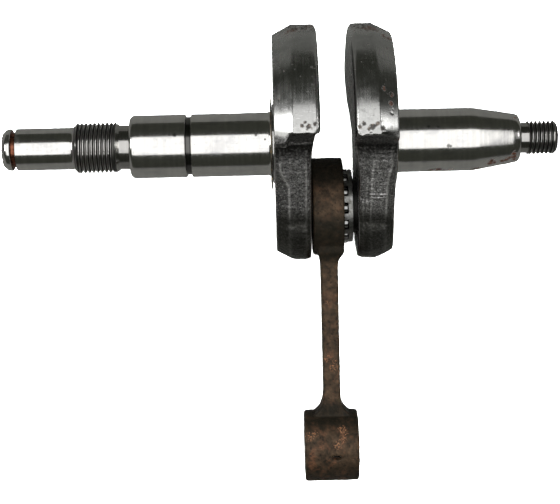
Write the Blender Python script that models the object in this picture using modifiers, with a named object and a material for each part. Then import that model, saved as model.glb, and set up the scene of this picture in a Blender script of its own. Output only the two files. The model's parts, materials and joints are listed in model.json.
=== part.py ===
"""Built-up crankshaft of a small two-stroke engine, with its connecting rod.

Frame: the crank's axis of rotation is +X, pointing to the flywheel end; the
origin is on that axis, midway between the two webs; +Z is up.  The crank lies
at rest, turned 23 degrees about X, on the edges of its webs and on the small
end of the rod.

Pieces: left_half_crank (drive side: web, main journal, M12x1 left-hand
thread, 10 mm end journal), right_half_crank (flywheel side: web, main
journal, taper, M8x1 thread), crankpin (pressed into both), the two thin
washers on the journals, conrod, needle_cage and needle_roller_01..13.

Dimensions are in millimetres and angles in degrees; meshes are in metres.
In a turned part's own frame Z is its axis.  For the crank's pieces X points
to the counterweight and Z to the flywheel end; for the rod X points from the
big end to the small end.
"""
import math

import bmesh
import bpy
from mathutils import Matrix

for old in list(bpy.data.objects):
    bpy.data.objects.remove(old, do_unlink=True)

MM = 0.001

# ---------------------------------------------------------------- dimensions
LEAN = 23.0                # how far the crank is turned about X where it rests
THROW = 16.3               # crankpin's centre from the crank's axis
ROD_LEN = 58.7             # big end's centre to small end's centre
FLOOR_Z = -19.62           # height of the bench the crank lies on

WEB_R = 28.0               # turned outside radius of both webs
BEVEL_AX = 4.46            # turned bevel on each web's outer side, along X
BEVEL_RAD = 2.30           # ... and across it
CW_HALF = 67.5             # half angle of the counterweight's sector
LOBE_R = 13.2              # radius of the lobe round the crankpin
INNER_ROUND = 1.3          # rounding of the rim on the inner side

# faces of each web along X: outer, inner at the cheek, inner at the
# counterweight, which is thicker
LEFT_WEB = (-13.85, -5.47, -3.42)
RIGHT_WEB = (14.05, 5.60, 4.15)

PIN_R = 6.48
PIN_ENDS = (-13.55, 13.75)
PRESS_GAP = 0.06

BIG_R, BIG_BORE_R, BIG_W = 11.80, 9.06, 7.10
SMALL_R, SMALL_BORE_R, SMALL_W = 8.80, 6.50, 13.30
ROD_X = -1.55              # middle of the rod's two ends, along X
SHANK_DX = 0.33            # middle of the shank from the middle of the ends

ROLLERS = 13
ROLLER_R, ROLLER_HALF, PITCH_R = 1.23, 3.45, 7.75
FIRST_ROLLER = 5.4         # first roller, from straight up towards the rod
CAGE_IN, CAGE_OUT, CAGE_HALF = 6.93, 8.78, 4.60
WINDOW_GAP = 0.13          # a roller's play in its window

WASHER_BORE_R = 8.05
LEFT_WASHER = (-14.66, -14.30, 10.80)
RIGHT_WASHER = (14.55, 14.91, 10.45)

PIN_Y = -THROW * math.cos(math.radians(LEAN))
PIN_Z = -THROW * math.sin(math.radians(LEAN))
SMALL_Z = FLOOR_Z + SMALL_R
SMALL_Y = PIN_Y - math.sqrt(ROD_LEN ** 2 - (SMALL_Z - PIN_Z) ** 2)
ROD_DIR = math.degrees(math.atan2(SMALL_Z - PIN_Z, SMALL_Y - PIN_Y))

parts = bpy.data.collections.new("small_engine_crankshaft")
cutters = bpy.data.collections.new("cutters")
bpy.context.scene.collection.children.link(parts)
bpy.context.scene.collection.children.link(cutters)


# ------------------------------------------------------------------- helpers
def material(name, base, metallic, roughness):
    mat = bpy.data.materials.new(name)
    mat.use_nodes = True
    b = mat.node_tree.nodes["Principled BSDF"]
    b.inputs["Base Color"].default_value = (*base, 1.0)
    b.inputs["Metallic"].default_value = metallic
    b.inputs["Roughness"].default_value = roughness
    mat.diffuse_color = (*base, 1.0)
    return mat


def axis_empty(name, direction, location=(0.0, 0.0, 0.0), parent=None):
    """An empty whose Z is the crank's axis and whose X points, across it,
    at direction degrees from +Y towards +Z."""
    e = bpy.data.objects.new(name, None)
    e.empty_display_size = 0.01
    e.location = [c * MM for c in location]
    if parent is None:
        e.rotation_euler = (math.radians(90), -math.radians(direction),
                            math.radians(90))
    else:
        e.parent = parent
    parts.objects.link(e)
    return e


def add(name, mesh, parent, mat=None, location=(0.0, 0.0, 0.0)):
    """A mesh object under an axis: a part if it has a material, else a
    hidden solid that another part is cut by or joined with."""
    ob = bpy.data.objects.new(name, mesh)
    ob.parent = parent
    ob.location = [c * MM for c in location]
    if mat is None:
        cutters.objects.link(ob)
        ob.hide_render = True
        ob.display_type = "WIRE"
    else:
        parts.objects.link(ob)
        mesh.materials.append(mat)
    return ob


def turned(name, profile, steps, parent, mat=None, location=(0.0, 0.0, 0.0),
           loop=False):
    """A profile of (radius, height), from the top down its outer side,
    turned about Z with a Screw modifier."""
    me = bpy.data.meshes.new(name)
    verts = [(r * MM, 0.0, z * MM) for r, z in profile]
    edges = [(i, i + 1) for i in range(len(verts) - 1)]
    if loop:
        edges.append((len(verts) - 1, 0))
    me.from_pydata(verts, edges, [])
    ob = add(name, me, parent, mat, location)
    screw = ob.modifiers.new("turn", "SCREW")
    screw.axis = "Z"
    screw.angle = 2 * math.pi
    screw.steps = steps
    screw.render_steps = steps
    screw.use_merge_vertices = True
    screw.merge_threshold = 1e-6
    screw.use_smooth_shade = True
    return ob


def cylinder(name, radius, z0, z1, sides, parent, mat=None,
             location=(0.0, 0.0, 0.0), bevel=0.0, turn=0.0):
    """A cylinder along Z from a primitive, with its end edges bevelled."""
    bm = bmesh.new()
    bmesh.ops.create_cone(
        bm, cap_ends=True, segments=sides, radius1=radius * MM,
        radius2=radius * MM, depth=abs(z1 - z0) * MM,
        matrix=Matrix.Translation((0, 0, (z0 + z1) / 2 * MM))
        @ Matrix.Rotation(math.radians(turn), 4, "Z"))
    me = bpy.data.meshes.new(name)
    bm.to_mesh(me)
    bm.free()
    me.shade_smooth()
    me.set_sharp_from_angle(angle=math.radians(35))
    ob = add(name, me, parent, mat, location)
    if bevel:
        b = ob.modifiers.new("edge", "BEVEL")
        b.width = bevel * MM
        b.segments = 1
        b.limit_method = "ANGLE"
        b.angle_limit = math.radians(40)
    return ob


def outline(name, points, z0, z1, parent):
    """A flat outline (x, y) as a filled 2D curve, extruded from z0 to z1,
    made a mesh so that it can cut."""
    cu = bpy.data.curves.new(name, "CURVE")
    cu.dimensions = "2D"
    cu.fill_mode = "BOTH"
    cu.extrude = abs(z1 - z0) / 2 * MM
    sp = cu.splines.new("POLY")
    sp.points.add(len(points) - 1)
    for p, (x, y) in zip(sp.points, points):
        p.co = (x * MM, y * MM, 0.0, 1.0)
    sp.use_cyclic_u = True
    tmp = bpy.data.objects.new(name + "_curve", cu)
    cutters.objects.link(tmp)
    dg = bpy.context.evaluated_depsgraph_get()
    me = bpy.data.meshes.new_from_object(tmp.evaluated_get(dg))
    bpy.data.objects.remove(tmp, do_unlink=True)
    bm = bmesh.new()
    bm.from_mesh(me)
    bmesh.ops.remove_doubles(bm, verts=bm.verts, dist=1e-6)
    bmesh.ops.translate(bm, verts=bm.verts, vec=(0, 0, (z0 + z1) / 2 * MM))
    bmesh.ops.recalc_face_normals(bm, faces=bm.faces)
    bm.to_mesh(me)
    bm.free()
    return add(name, me, parent)


def boolean(ob, other, op):
    mod = ob.modifiers.new(op.lower() + "_" + other.name, "BOOLEAN")
    mod.operation = op
    mod.solver = "EXACT"
    mod.object = other


def arc(cx, cy, r, a0, a1, n):
    """n + 1 points on a circle between two angles."""
    return [(cx + r * math.cos(math.radians(a0 + (a1 - a0) * k / n)),
             cy + r * math.sin(math.radians(a0 + (a1 - a0) * k / n)))
            for k in range(n + 1)]


# ------------------------------------------------------------------- colours
STEEL_L = material("ground_steel_drive_side", (0.42, 0.41, 0.40), 1.0, 0.25)
STEEL_R = material("ground_steel_flywheel_side", (0.40, 0.39, 0.38), 1.0, 0.27)
PIN_MAT = material("crankpin_steel", (0.45, 0.44, 0.43), 1.0, 0.20)
WASHER_L = material("washer_steel_left", (0.20, 0.19, 0.17), 1.0, 0.40)
WASHER_R = material("washer_steel_right", (0.19, 0.18, 0.17), 1.0, 0.40)
ROD_MAT = material("rusty_forged_steel", (0.055, 0.036, 0.027), 0.6, 0.55)
CAGE_MAT = material("cage_steel", (0.50, 0.50, 0.49), 1.0, 0.30)

# ---------------------------------------------------------------------- axes
crank_axis = axis_empty("crank_axis", LEAN)
pin_axis = axis_empty("crankpin_axis", 0.0, (-THROW, 0.0, 0.0), crank_axis)
rod_axis = axis_empty("rod_axis", ROD_DIR, (0.0, PIN_Y, PIN_Z))


# ---------------------------------------------------------------------- webs
def web_outline():
    """A web's outline across the axis, wider than the turned radius at the
    counterweight and at the tip, because the turning trims both."""
    big = WEB_R + 4.0
    cx = WEB_R * math.cos(math.radians(CW_HALF))
    cy = WEB_R * math.sin(math.radians(CW_HALF))
    side = [(big, 0.0), (big, big), (cx, big), (cx, cy - 0.6)]
    # the counterweight's underside, rounded into the forged flank
    side += [(cx - 1.1, cy - 1.9), (8.0, 22.5), (6.6, 21.55), (5.0, 21.1),
             (3.2, 20.75), (-6.0, 17.02)]
    # the lobe round the crankpin
    side += arc(-THROW, 0.0, LOBE_R, 84.0, 180.0, 12)
    return side + [(x, -y) for x, y in reversed(side[1:-1])]


def web(name, faces, ramp, mat):
    """A turned puck with its outer bevel and its rounded inner rim, trimmed
    to the outline; the inner side is then stepped back from the
    counterweight to the cheek along the ramp of (u, x) points."""
    out_x, cheek_x, pad_x = faces
    s = 1.0 if out_x > 0 else -1.0
    prof = [(0.0, out_x), (WEB_R - BEVEL_RAD, out_x),
            (WEB_R, out_x - s * BEVEL_AX)]
    prof += [(WEB_R - INNER_ROUND + INNER_ROUND * math.cos(math.radians(t)),
              pad_x + s * INNER_ROUND * (1 - math.sin(math.radians(t))))
             for t in (0.0, 30.0, 60.0, 90.0)]
    prof.append((0.0, pad_x))
    if s < 0:
        prof.reverse()
    ob = turned(name, prof, 96, crank_axis, mat)
    boolean(ob, outline(name + "_outline", web_outline(), -30.0, 30.0,
                        crank_axis), "INTERSECT")
    loop = [(-40.0, -s * 10.0), (ramp[0][0] + 6.0, -s * 10.0),
            (ramp[0][0] + 0.2, pad_x - s * 0.5)] + ramp + [(-40.0, cheek_x)]
    step = outline(name + "_step", loop, -40.0, 40.0, crank_axis)
    step.rotation_euler = (math.radians(90), 0.0, 0.0)
    boolean(ob, step, "DIFFERENCE")
    return ob


def thread(z0, z1, radius, pitch, depth, lead):
    """A thread as a row of grooves, from its run-out z0 to its start z1."""
    s = 1.0 if z1 > z0 else -1.0
    start = z0 + s * lead
    count = int((abs(z1 - z0) - 2 * lead) / pitch + 1e-6)
    pts = [(radius - depth, z0), (radius, start)]
    for k in range(count):
        pts += [(radius - depth, start + s * pitch * (k + 0.5)),
                (radius, start + s * pitch * (k + 1))]
    return pts


# the ramps drop the inner side from the counterweight to the cheek
LEFT_RAMP = [(10.2, LEFT_WEB[2]), (8.6, -4.1), (6.9, -4.7), (4.4, -5.2),
             (2.0, LEFT_WEB[1])]
RIGHT_RAMP = [(9.2, RIGHT_WEB[2]), (5.0, 4.45), (3.0, 4.83), (0.0, 5.25),
              (-3.0, RIGHT_WEB[1])]

left = web("left_half_crank", LEFT_WEB, LEFT_RAMP, STEEL_L)
right = web("right_half_crank", RIGHT_WEB, RIGHT_RAMP, STEEL_R)

# drive side, from the web out: boss, 15 mm journal with its groove, neck,
# M12x1 thread, 10 mm journal with the groove of its retaining ring
drive = [(0.0, LEFT_WEB[0] + 4.0), (9.4, LEFT_WEB[0] + 4.0), (9.4, -14.25),
         (7.95, -14.25), (7.50, -15.00), (7.50, -33.38), (6.875, -33.38),
         (6.875, -34.63), (7.50, -34.63), (7.50, -47.20), (6.90, -47.90),
         (5.20, -47.90), (5.20, -51.50)]
drive += thread(-51.50, -61.40, 6.00, 1.0, 0.58, 0.6)
drive += [(5.42, -61.40), (5.00, -61.40), (5.00, -75.02), (4.17, -75.02),
          (4.17, -76.07), (5.00, -76.07), (5.00, -77.10), (4.05, -78.20),
          (0.0, -78.20)]
boolean(left, turned("drive_shaft", drive, 40, crank_axis), "UNION")

# flywheel side: boss, 15 mm journal, 1:3 taper, neck, M8x1 thread
flywheel = [(0.0, RIGHT_WEB[0] - 4.0), (9.2, RIGHT_WEB[0] - 4.0),
            (9.2, 14.50), (7.95, 14.50), (7.50, 15.30), (7.50, 33.30),
            (5.82, 43.35), (5.48, 44.15), (4.80, 44.50), (3.60, 44.50),
            (3.60, 46.50)]
flywheel += [p for p in thread(46.50, 53.40, 4.00, 1.0, 0.58, 0.6)
             if p[1] < 52.3]
flywheel += [(4.00, 52.60), (3.25, 53.40), (0.0, 53.40)]
boolean(right, turned("flywheel_shaft", flywheel[::-1], 40, crank_axis),
        "UNION")

# a half-moon keyway in the taper, square to the crankpin's plane
keyway = cylinder("keyway", 6.5, -1.5, 1.5, 32, crank_axis, bevel=0.0)
keyway.rotation_euler = (0.0, math.radians(90), 0.0)
keyway.location = (0.0, -10.6 * MM, 38.4 * MM)
boolean(right, keyway, "DIFFERENCE")

# holes for the crankpin, a hair wider than the pin
hole = cylinder("crankpin_hole", PIN_R + PRESS_GAP, -40.0, 40.0, 48, pin_axis)
boolean(left, hole, "DIFFERENCE")
boolean(right, hole, "DIFFERENCE")

# crankpin, pressed through both webs, its ends just below their faces
cylinder("crankpin", PIN_R, PIN_ENDS[0], PIN_ENDS[1], 48, pin_axis, PIN_MAT,
         bevel=0.5)


# thin washers on the journals, against the bosses
def washer(name, dims, mat):
    z0, z1, r = dims
    return turned(name, [(r, z1), (r, z0), (WASHER_BORE_R, z0),
                         (WASHER_BORE_R, z1)], 48, crank_axis, mat, loop=True)


washer("shim_washer_left", LEFT_WASHER, WASHER_L)
washer("shim_washer_right", RIGHT_WASHER, WASHER_R)

# ----------------------------------------------------------------------- rod
rod = cylinder("conrod", BIG_R, -BIG_W / 2, BIG_W / 2, 56, rod_axis, ROD_MAT,
               location=(0.0, 0.0, ROD_X), bevel=0.5)
boolean(rod, cylinder("small_end", SMALL_R, -SMALL_W / 2, SMALL_W / 2, 48,
                      rod_axis, location=(ROD_LEN, 0.0, ROD_X), bevel=0.5),
        "UNION")

# the shank is a loft: (distance from the big end, half breadth, half
# thickness), with its long edges broken, flaring into both ends
SHANK = [(5.0, 8.6, 3.10), (10.9, 7.0, 2.95), (12.4, 6.15, 2.55),
         (14.6, 5.45, 2.18), (18.0, 5.10, 2.10), (32.0, 4.75, 2.10),
         (44.2, 4.50, 2.10), (46.6, 4.60, 2.42), (48.6, 4.80, 3.3),
         (50.2, 4.95, 4.9), (51.4, 5.00, 6.0), (55.0, 5.00, 6.2)]
bm = bmesh.new()
rings = []
for a, hb, hx in SHANK:
    c = 0.55 if hx < 3.4 else 0.3
    loop = [(-hb + c, -hx), (hb - c, -hx), (hb, -hx + c), (hb, hx - c),
            (hb - c, hx), (-hb + c, hx), (-hb, hx - c), (-hb, -hx + c)]
    rings.append([bm.verts.new((a * MM, y * MM, z * MM)) for y, z in loop])
for p, q in zip(rings, rings[1:]):
    for k in range(8):
        bm.faces.new((p[k], p[(k + 1) % 8], q[(k + 1) % 8], q[k]))
bm.faces.new(rings[0][::-1])
bm.faces.new(rings[-1])
bmesh.ops.recalc_face_normals(bm, faces=bm.faces)
shank_mesh = bpy.data.meshes.new("shank")
bm.to_mesh(shank_mesh)
bm.free()
boolean(rod, add("shank", shank_mesh, rod_axis,
                 location=(0.0, 0.0, ROD_X + SHANK_DX)), "UNION")

# the pockets that make the shank an I-beam, one on each face
pocket = (arc(18.4, 0.0, 3.1, 100.0, 260.0, 6)
          + arc(41.5, 0.0, 2.55, -80.0, 80.0, 6))
for name, z0, z1 in (("pocket_front", 1.05, 4.0), ("pocket_back", -4.0, -1.05)):
    cut = outline(name, pocket, z0, z1, rod_axis)
    cut.location = (0.0, 0.0, (ROD_X + SHANK_DX) * MM)
    boolean(rod, cut, "DIFFERENCE")

# bores, and the oil hole in the small end's upper side, past its centre
boolean(rod, cylinder("big_bore", BIG_BORE_R, -20.0, 20.0, 56, rod_axis,
                      turn=1.2), "DIFFERENCE")
boolean(rod, cylinder("small_bore", SMALL_BORE_R, -20.0, 20.0, 44, rod_axis,
                      location=(ROD_LEN, 0.0, 0.0), turn=1.2), "DIFFERENCE")
oil = cylinder("oil_hole", 1.0, 4.0, 12.0, 12, rod_axis,
               location=(ROD_LEN, 0.0, ROD_X + 1.1))
oil.rotation_euler = (math.radians(90), 0.0, math.radians(10.0))
boolean(rod, oil, "DIFFERENCE")

# ------------------------------------------------------------ needle bearing
# a thin sleeve with a window for each roller
cage = turned("needle_cage", [(CAGE_OUT, CAGE_HALF), (CAGE_OUT, -CAGE_HALF),
                              (CAGE_IN, -CAGE_HALF), (CAGE_IN, CAGE_HALF)],
              52, pin_axis, CAGE_MAT, loop=True)


def roller_angle(i):
    """Round the crankpin from the counterweight's direction: straight up is
    90 - LEAN, and the rod's side comes after it."""
    return math.radians(90.0 - LEAN + FIRST_ROLLER + 360.0 * i / ROLLERS)


bm = bmesh.new()
for i in range(ROLLERS):
    bmesh.ops.create_cube(
        bm, size=1.0,
        matrix=Matrix.Rotation(roller_angle(i), 4, "Z")
        @ Matrix.Translation((PITCH_R * MM, 0, 0))
        @ Matrix.Diagonal((6.0 * MM, 2 * (ROLLER_R + WINDOW_GAP) * MM,
                           2 * (ROLLER_HALF + WINDOW_GAP) * MM, 1.0)))
window_mesh = bpy.data.meshes.new("cage_windows")
bm.to_mesh(window_mesh)
bm.free()
boolean(cage, add("cage_windows", window_mesh, pin_axis), "DIFFERENCE")

for i in range(ROLLERS):
    tone = 0.55 + 0.004 * i
    a = roller_angle(i)
    cylinder("needle_roller_%02d" % (i + 1), ROLLER_R, -ROLLER_HALF,
             ROLLER_HALF, 20, pin_axis,
             material("roller_steel_%02d" % (i + 1), (tone, tone, tone), 1.0,
                      0.12),
             location=(PITCH_R * math.cos(a), PITCH_R * math.sin(a), 0.0),
             bevel=0.25)
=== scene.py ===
import json
import math

import bmesh
import bpy
import numpy as np
from mathutils import Matrix, Vector, noise

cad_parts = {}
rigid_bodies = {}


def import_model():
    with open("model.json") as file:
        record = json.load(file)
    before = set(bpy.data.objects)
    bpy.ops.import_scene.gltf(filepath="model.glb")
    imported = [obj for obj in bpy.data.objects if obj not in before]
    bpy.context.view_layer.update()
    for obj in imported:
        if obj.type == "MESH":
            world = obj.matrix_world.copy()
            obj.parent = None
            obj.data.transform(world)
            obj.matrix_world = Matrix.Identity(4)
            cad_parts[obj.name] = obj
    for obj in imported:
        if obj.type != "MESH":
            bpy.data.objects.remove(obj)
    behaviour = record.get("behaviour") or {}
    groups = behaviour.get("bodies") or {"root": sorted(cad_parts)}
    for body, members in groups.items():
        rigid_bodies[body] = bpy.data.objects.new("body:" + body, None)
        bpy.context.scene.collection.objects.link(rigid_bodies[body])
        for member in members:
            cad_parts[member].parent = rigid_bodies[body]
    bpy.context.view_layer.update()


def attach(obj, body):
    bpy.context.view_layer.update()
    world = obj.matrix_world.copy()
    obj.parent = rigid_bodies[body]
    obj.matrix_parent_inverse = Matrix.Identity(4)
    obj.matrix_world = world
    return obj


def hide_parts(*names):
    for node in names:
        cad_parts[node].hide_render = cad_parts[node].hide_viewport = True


# ============================================================ frame and view
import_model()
scene = bpy.context.scene
for o in list(bpy.data.objects):
    if o.type in {"LIGHT", "CAMERA"}:
        bpy.data.objects.remove(o, do_unlink=True)
scene.view_settings.view_transform = "Standard"
scene.view_settings.look = "None"

MM = 0.001
LEAN = math.radians(23.0)
CL, SL = math.cos(LEAN), math.sin(LEAN)
THROW = 16.3
FLOOR_Z = -19.62
PIN = Vector((0.0, -THROW * CL, -THROW * SL))
SMALL_Z = FLOOR_Z + 8.8
ROD_LEN = 58.7
SMALL_Y = PIN.y - math.sqrt(ROD_LEN ** 2 - (SMALL_Z - PIN.z) ** 2)
ROD_X = -1.55

cam_data = bpy.data.cameras.new("camera")
cam_data.sensor_width = 36.0
cam_data.lens = 91.65
cam_data.clip_start = 0.01
cam_data.clip_end = 20.0
cam = bpy.data.objects.new("camera", cam_data)
cam.location = (-0.01303, -0.02585, 0.340)
cam.rotation_euler = (0.0, 0.0, -math.radians(1.38))
scene.collection.objects.link(cam)
scene.camera = cam


# ================================================================ node tools
def new_mat(name):
    m = bpy.data.materials.new(name)
    m.use_nodes = True
    m.node_tree.nodes.clear()
    return m, m.node_tree.nodes, m.node_tree.links


class G:
    """Small helper to write node graphs as expressions."""

    def __init__(self, name):
        self.mat, self.n, self.l = new_mat(name)
        self.out = self.n.new("ShaderNodeOutputMaterial")

    def put(self, sock, v):
        if isinstance(v, bpy.types.NodeSocket):
            self.l.new(v, sock)
        elif isinstance(v, (tuple, list)):
            v = tuple(v)
            if sock.type == "RGBA" and len(v) == 3:
                v = v + (1.0,)
            sock.default_value = v
        elif v is not None:
            sock.default_value = v

    def coord(self, kind="Object"):
        return self.n.new("ShaderNodeTexCoord").outputs[kind]

    def geo(self, which):
        return self.n.new("ShaderNodeNewGeometry").outputs[which]

    def attr(self, name):
        a = self.n.new("ShaderNodeAttribute")
        a.attribute_name = name
        return a.outputs["Fac"]

    def mapping(self, vec, loc=(0, 0, 0), rot=(0, 0, 0), scale=(1, 1, 1)):
        m = self.n.new("ShaderNodeMapping")
        self.l.new(vec, m.inputs["Vector"])
        m.inputs["Location"].default_value = loc
        m.inputs["Rotation"].default_value = rot
        m.inputs["Scale"].default_value = scale
        return m.outputs["Vector"]

    def noise(self, vec, scale, detail=4.0, rough=0.55, dist=0.0, out="Fac"):
        t = self.n.new("ShaderNodeTexNoise")
        self.l.new(vec, t.inputs["Vector"])
        t.inputs["Scale"].default_value = scale
        t.inputs["Detail"].default_value = detail
        t.inputs["Roughness"].default_value = rough
        t.inputs["Distortion"].default_value = dist
        return t.outputs[out]

    def voronoi(self, vec, scale, feature="F1", out="Distance", rnd=1.0):
        t = self.n.new("ShaderNodeTexVoronoi")
        t.feature = feature
        self.l.new(vec, t.inputs["Vector"])
        t.inputs["Scale"].default_value = scale
        t.inputs["Randomness"].default_value = rnd
        return t.outputs[out]

    def math(self, op, a, b=None, c=None, clamp=False):
        t = self.n.new("ShaderNodeMath")
        t.operation = op
        t.use_clamp = clamp
        self.put(t.inputs[0], a)
        if b is not None:
            self.put(t.inputs[1], b)
        if c is not None:
            self.put(t.inputs[2], c)
        return t.outputs[0]

    def step(self, v, lo, hi, to0=0.0, to1=1.0):
        t = self.n.new("ShaderNodeMapRange")
        t.interpolation_type = "SMOOTHSTEP"
        self.put(t.inputs["Value"], v)
        self.put(t.inputs["From Min"], lo)
        self.put(t.inputs["From Max"], hi)
        self.put(t.inputs["To Min"], to0)
        self.put(t.inputs["To Max"], to1)
        return t.outputs["Result"]

    def mix(self, f, a, b, blend="MIX"):
        t = self.n.new("ShaderNodeMix")
        t.data_type = "RGBA"
        t.blend_type = blend
        t.clamp_factor = True
        self.put(t.inputs[0], f)
        self.put(t.inputs[6], a)
        self.put(t.inputs[7], b)
        return t.outputs[2]

    def mixf(self, f, a, b):
        t = self.n.new("ShaderNodeMix")
        t.data_type = "FLOAT"
        self.put(t.inputs[0], f)
        self.put(t.inputs[2], a)
        self.put(t.inputs[3], b)
        return t.outputs[0]

    def ramp(self, f, stops):
        t = self.n.new("ShaderNodeValToRGB")
        self.put(t.inputs[0], f)
        e = t.color_ramp.elements
        while len(e) > 1:
            e.remove(e[-1])
        e[0].position = stops[0][0]
        e[0].color = (*stops[0][1], 1.0)
        for p, c in stops[1:]:
            k = e.new(p)
            k.color = (*c, 1.0)
        return t.outputs["Color"]

    def sep(self, vec):
        t = self.n.new("ShaderNodeSeparateXYZ")
        self.l.new(vec, t.inputs[0])
        return t.outputs

    def combine(self, x, y, z):
        t = self.n.new("ShaderNodeCombineXYZ")
        self.put(t.inputs[0], x)
        self.put(t.inputs[1], y)
        self.put(t.inputs[2], z)
        return t.outputs[0]

    def bump(self, height, dist, strength=1.0, normal=None):
        t = self.n.new("ShaderNodeBump")
        self.put(t.inputs["Height"], height)
        t.inputs["Distance"].default_value = dist
        self.put(t.inputs["Strength"], strength)
        if normal is not None:
            self.l.new(normal, t.inputs["Normal"])
        return t.outputs["Normal"]

    def spots(self, where, lst, soft=0.35):
        """1 inside any of the listed balls (x, y, z, radius in mm)."""
        total = None
        for x, y, z, r in lst:
            d = self.n.new("ShaderNodeVectorMath")
            d.operation = "DISTANCE"
            self.l.new(where, d.inputs[0])
            d.inputs[1].default_value = (x * MM, y * MM, z * MM)
            s = self.step(d.outputs["Value"], r * MM * (1 - soft),
                          r * MM * (1 + soft), 1.0, 0.0)
            total = s if total is None else self.math("MAXIMUM", total, s)
        return total

    def bsdf(self, color, metallic, rough, normal=None, **extra):
        b = self.n.new("ShaderNodeBsdfPrincipled")
        self.put(b.inputs["Base Color"], color)
        self.put(b.inputs["Metallic"], metallic)
        self.put(b.inputs["Roughness"], rough)
        if normal is not None:
            self.l.new(normal, b.inputs["Normal"])
        for k, v in extra.items():
            self.put(b.inputs[k.replace("_", " ")], v)
        self.l.new(b.outputs[0], self.out.inputs["Surface"])
        return self.mat


# ================================================================ mesh tools
def mesh_object(name, verts, faces, smooth_deg=32.0):
    me = bpy.data.meshes.new(name)
    me.from_pydata([tuple(v) for v in verts], [], faces)
    me.validate()
    bm = bmesh.new()
    bm.from_mesh(me)
    bmesh.ops.remove_doubles(bm, verts=bm.verts, dist=1e-8)
    bmesh.ops.recalc_face_normals(bm, faces=bm.faces)
    bm.to_mesh(me)
    bm.free()
    me.shade_smooth()
    if smooth_deg:
        me.set_sharp_from_angle(angle=math.radians(smooth_deg))
    ob = bpy.data.objects.new(name, me)
    scene.collection.objects.link(ob)
    return ob


def to_world(x, u, v):
    """Crank coordinates in mm (u to the counterweight) to the frame, m."""
    return np.stack([x * MM, (u * CL - v * SL) * MM, (u * SL + v * CL) * MM],
                    axis=-1)


def turned(name, profile, n, place, radius_at=None, smooth_deg=32.0):
    """Closed turned solid; profile is (x, r) from one end to the other."""
    prof = np.array(profile, float)
    if prof[-1, 0] < prof[0, 0]:
        prof = prof[::-1]
    phi = np.arange(n) * 2 * np.pi / n
    verts, faces = [], []
    inner = prof[(prof[:, 1] > 1e-9)]
    for x, r in inner:
        rr = np.full(n, r)
        if radius_at is not None:
            rr = radius_at(x, r, phi)
        p = place(np.full(n, x), rr * np.cos(phi), rr * np.sin(phi))
        verts.extend(p)
    m = len(inner)
    for i in range(m - 1):
        a, b = i * n, (i + 1) * n
        for k in range(n):
            j = (k + 1) % n
            faces.append((a + k, a + j, b + j, b + k))
    for x, base in ((prof[0, 0], 0), (prof[-1, 0], (m - 1) * n)):
        c = len(verts)
        verts.append(place(np.array([x]), np.array([0.0]), np.array([0.0]))[0])
        for k in range(n):
            faces.append((base + k, base + (k + 1) % n, c))
    return mesh_object(name, verts, faces, smooth_deg)


def ring(name, profile, n, place, warp=None, smooth_deg=32.0):
    """Closed ring; profile is a closed loop of (x, r)."""
    phi = np.arange(n) * 2 * np.pi / n
    verts, faces = [], []
    for x, r in profile:
        xx = np.full(n, x)
        if warp is not None:
            xx = xx + warp(r, phi)
        verts.extend(place(xx, r * np.cos(phi), r * np.sin(phi)))
    m = len(profile)
    for i in range(m):
        a, b = i * n, ((i + 1) % m) * n
        for k in range(n):
            j = (k + 1) % n
            faces.append((a + k, a + j, b + j, b + k))
    return mesh_object(name, verts, faces, smooth_deg)


def densify(profile, step):
    """Extra points along a profile's long straight runs."""
    out = [profile[0]]
    for p, q in zip(profile, profile[1:]):
        d = math.hypot(q[0] - p[0], q[1] - p[1])
        k = max(1, int(math.ceil(d / step)))
        for i in range(1, k + 1):
            t = i / k
            out.append((p[0] + (q[0] - p[0]) * t, p[1] + (q[1] - p[1]) * t))
    return out


def chamfered(profile, size):
    """Breaks each sharp corner of a profile with a small flat."""
    out = [profile[0]]
    for a, b, c in zip(profile, profile[1:], profile[2:]):
        ab = math.hypot(b[0] - a[0], b[1] - a[1])
        bc = math.hypot(c[0] - b[0], c[1] - b[1])
        if ab < 1e-6 or bc < 1e-6:
            continue
        dot = ((b[0] - a[0]) * (c[0] - b[0]) + (b[1] - a[1]) * (c[1] - b[1])) / ab / bc
        if dot > 0.94:
            out.append(b)
            continue
        s = min(size, ab * 0.4, bc * 0.4)
        out.append((b[0] - (b[0] - a[0]) / ab * s, b[1] - (b[1] - a[1]) / ab * s))
        out.append((b[0] + (c[0] - b[0]) / bc * s, b[1] + (c[1] - b[1]) / bc * s))
    out.append(profile[-1])
    return out


def fbm(p, scale, octaves=4, seed=0.0):
    """Fractal noise at points p (mm), about -1 to 1."""
    out = np.zeros(len(p))
    amp, tot, f = 1.0, 0.0, scale
    for o in range(octaves):
        off = Vector((seed * 7.3 + o * 19.1, seed * 3.1 - o * 11.7, seed * 5.9))
        out += amp * np.array([noise.noise(Vector(q) * f + off) for q in p])
        tot += amp
        amp *= 0.55
        f *= 2.1
    return out / tot * 1.8


# ==================================================================== shafts
def thread_points(x0, x1, r, pitch, depth, per=14):
    n = int(round((x1 - x0) / pitch * per))
    return [(x0 + (x1 - x0) * i / n, r) for i in range(n + 1)]


def thread_radius(x, phi, x0, x1, r, pitch, depth, hand, run0=0.5, run1=0.25):
    """Radius of a real helical thread at x for the angles phi."""
    t = (x - x0) / pitch + hand * phi / (2 * np.pi)
    f = np.abs((t % 1.0) * 2 - 1)                 # 0 at root .. 1 at crest
    prof = np.clip((f - 0.13) / 0.72, 0, 1)
    fade = np.clip(min((x - x0) / run0, (x1 - x) / run1), 0, 1)
    return r - depth * (1 - prof) * fade


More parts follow.
